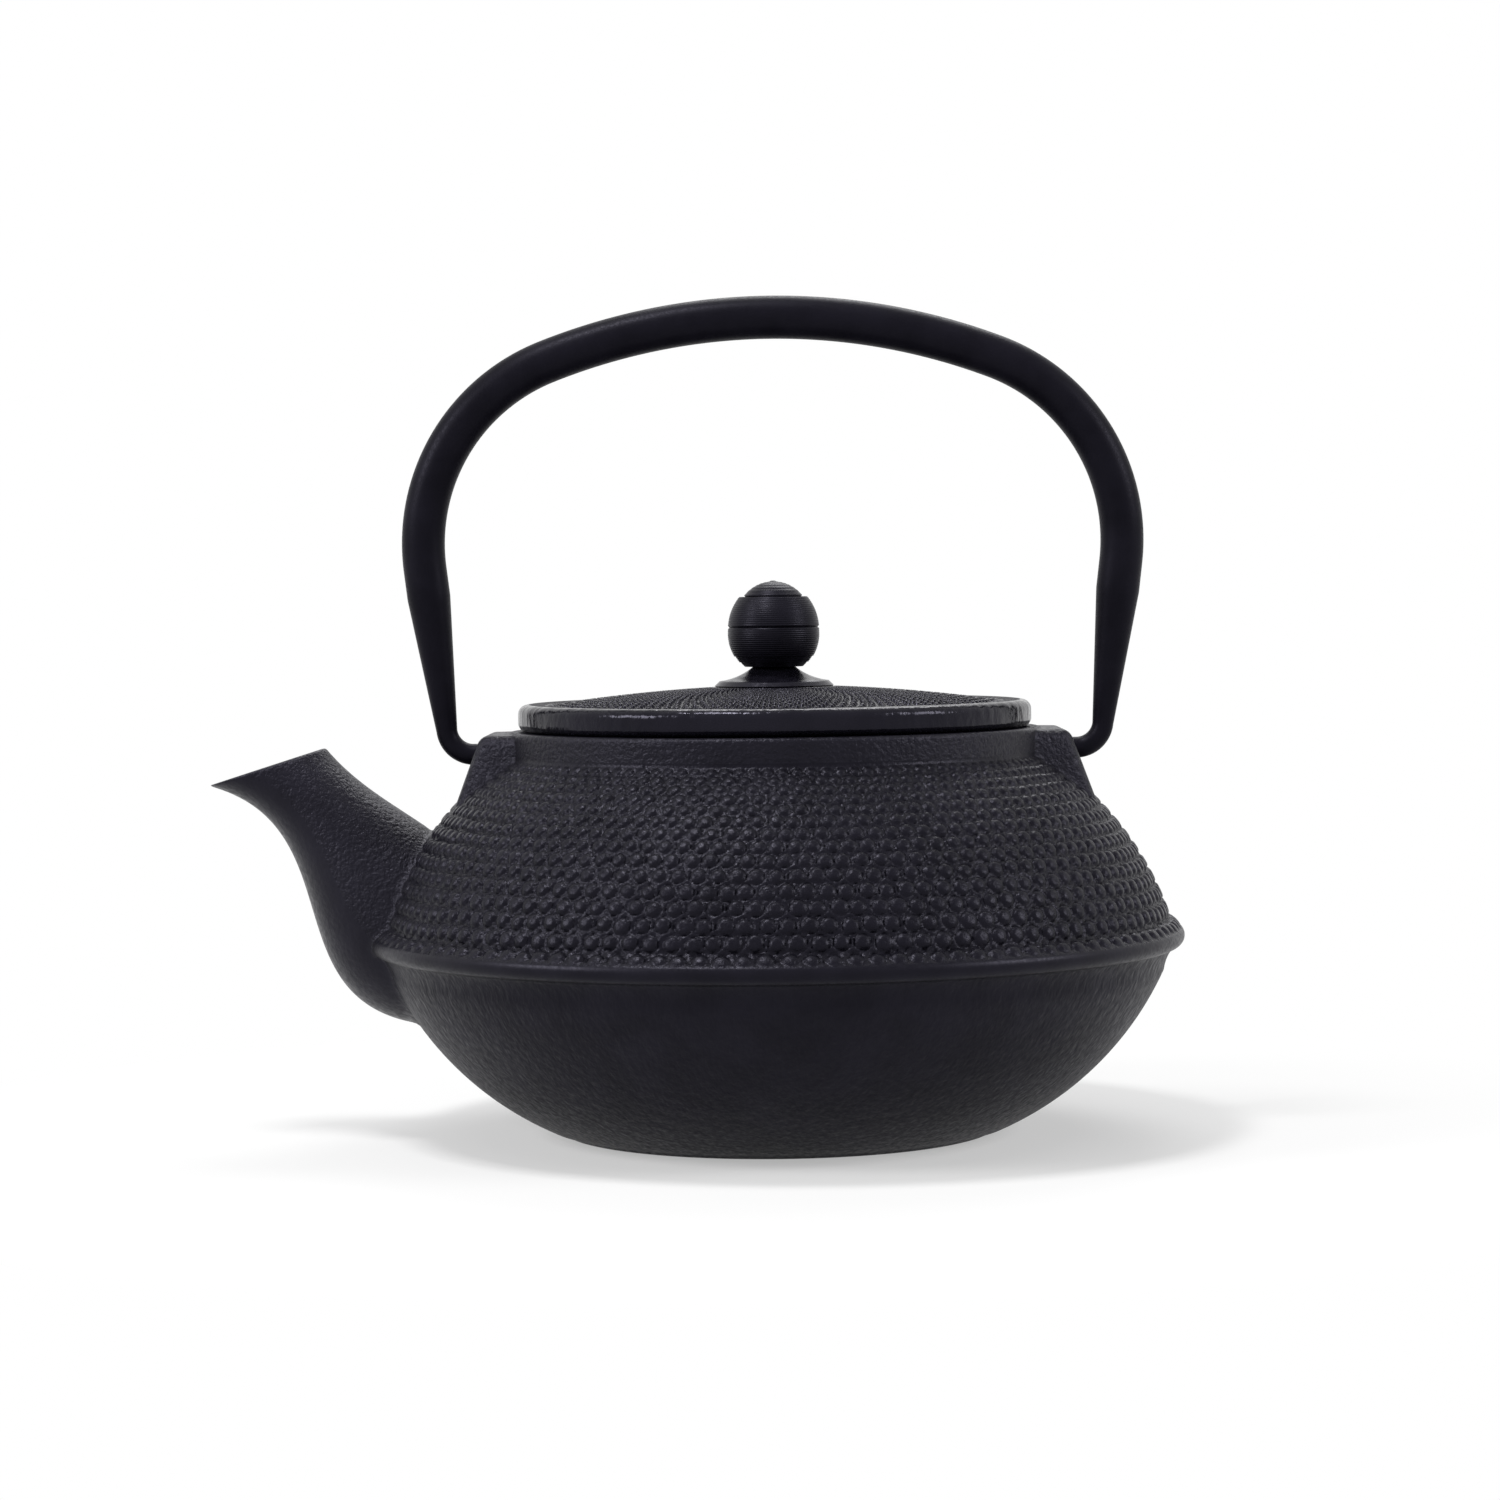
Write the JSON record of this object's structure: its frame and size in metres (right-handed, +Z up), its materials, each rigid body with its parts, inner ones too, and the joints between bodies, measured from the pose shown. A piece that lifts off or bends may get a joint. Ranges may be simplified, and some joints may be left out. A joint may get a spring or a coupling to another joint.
{
  "type": "cast iron teapot",
  "caption": "Low round cast iron teapot with a hobnail shoulder, side spout, flat lid with ball knob, swinging tube bail and a steel tea strainer hung in its mouth",
  "frame": {"origin": "middle of the flat base, on the table", "axes": "+Z up, spout towards -X, bail pivots along X, the pictured side faces -Y"},
  "size_m": [0.1996, 0.1666, 0.1709],
  "materials": {
    "casting": "black coated, sandy cast grain",
    "bail": "satin black",
    "knob": "turned, satin black",
    "hardware": "plain steel",
    "strainer": "stainless sheet"
  },
  "bodies": {
    "pot": {"pot_body": "casting"},
    "bail": {"bail_handle": "bail"},
    "lid": {"lid": "casting", "knob_seat": "knob", "knob_ball": "knob", "knob_bolt": "knob", "lid_washer": "hardware", "lid_nut": "hardware"},
    "strainer": {"strainer_rim": "strainer", "strainer_wall": "strainer", "strainer_base": "strainer"}
  },
  "joints": [
    {"name": "bail_swing", "type": "hinge", "parent": "pot", "child": "bail", "pos_m": [0, 0, 0.0779], "axis": [1, 0, 0], "range_deg": [-106, 106]},
    {"name": "lid_lift", "type": "slide", "parent": "pot", "child": "lid", "axis": [0, 0, 1], "range_m": [0, 0.044]},
    {"name": "strainer_lift", "type": "slide", "parent": "pot", "child": "strainer", "axis": [0, 0, 1], "range_m": [0, 0.022]}
  ],
  "couplings": [
    {"joint": "strainer_lift", "follows": "lid_lift", "ratio": 0.5}
  ]
}
